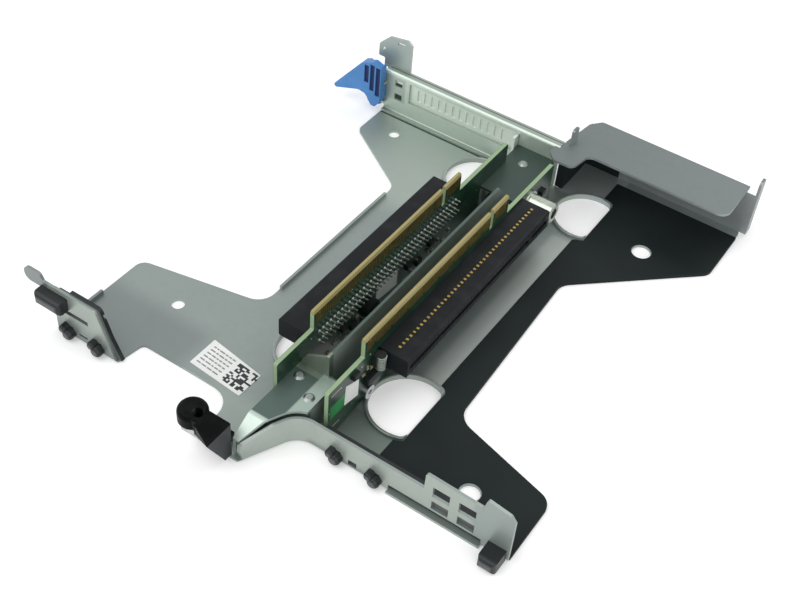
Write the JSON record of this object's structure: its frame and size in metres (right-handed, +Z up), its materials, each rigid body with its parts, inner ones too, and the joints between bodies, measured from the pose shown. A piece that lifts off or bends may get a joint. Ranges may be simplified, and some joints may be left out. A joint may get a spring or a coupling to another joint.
{
  "type": "riser cage bracket",
  "caption": "Sheet-metal riser cage for a rack server: holds riser boards upright between card slots, with a latch, slot fillers and card guides",
  "frame": {"origin": "on the underside of the base plate, midway between the two riser boards and at the middle of the card-edge tabs within 1.5 mm", "axes": "+Z up from the base plate towards the boards' edge tabs, +Y towards the rear card slots, +X to the right seen from the front"},
  "size_m": [0.1777, 0.207, 0.0341],
  "materials": {
    "cage_steel": "zinc-plated sheet steel, satin",
    "divider_steel": "zinc-plated sheet steel, satin",
    "rivet_steel": "plated steel rivets",
    "screw_steel": "plated steel screws",
    "circuit_board": "green solder mask over glass-fibre board",
    "connector_plastic": "black moulded plastic",
    "tail_metal": "tinned contact tails",
    "wall_steel": "zinc-plated sheet steel, satin",
    "filler_steel": "plated sheet steel",
    "cover_steel": "plated sheet steel, satin grey",
    "latch_plastic": "blue moulded plastic",
    "pin_steel": "polished steel pin",
    "guide_plastic": "black moulded plastic",
    "post_plastic": "black moulded plastic",
    "clip_steel": "spring steel",
    "standoff_metal": "bright nickel plate",
    "film_black": "thin black polyester film",
    "label_paper": "white paper label",
    "component_black": "moulded electronic components"
  },
  "bodies": {
    "cage": {"cage_plate": "cage_steel", "divider": "divider_steel", "divider_rivets": "rivet_steel", "left_riser_board": "circuit_board", "right_riser_board": "circuit_board", "board_screws": "screw_steel", "left_connector": "connector_plastic", "right_connector": "connector_plastic", "left_solder_tails": "tail_metal", "right_solder_tails": "tail_metal", "rear_wall": "wall_steel", "left_slot_filler": "filler_steel", "rear_cover": "cover_steel", "cover_film": "film_black", "right_slot_filler": "filler_steel", "latch_pin": "pin_steel", "left_card_guide": "guide_plastic", "right_card_guide": "guide_plastic", "front_post": "post_plastic", "post_screw": "screw_steel", "post_clip": "clip_steel", "standoff": "standoff_metal", "standoff_screw": "screw_steel", "insulating_film": "film_black", "cage_label": "label_paper", "left_board_label": "label_paper", "right_board_label": "label_paper", "board_components": "component_black"},
    "latch_arm": {"latch": "latch_plastic"}
  },
  "joints": [
    {"name": "latch_swing", "type": "hinge", "parent": "cage", "child": "latch_arm", "pos_m": [-0.076, 0.0875, 0], "axis": [0, 0, -1], "range_deg": [0, 70]}
  ]
}
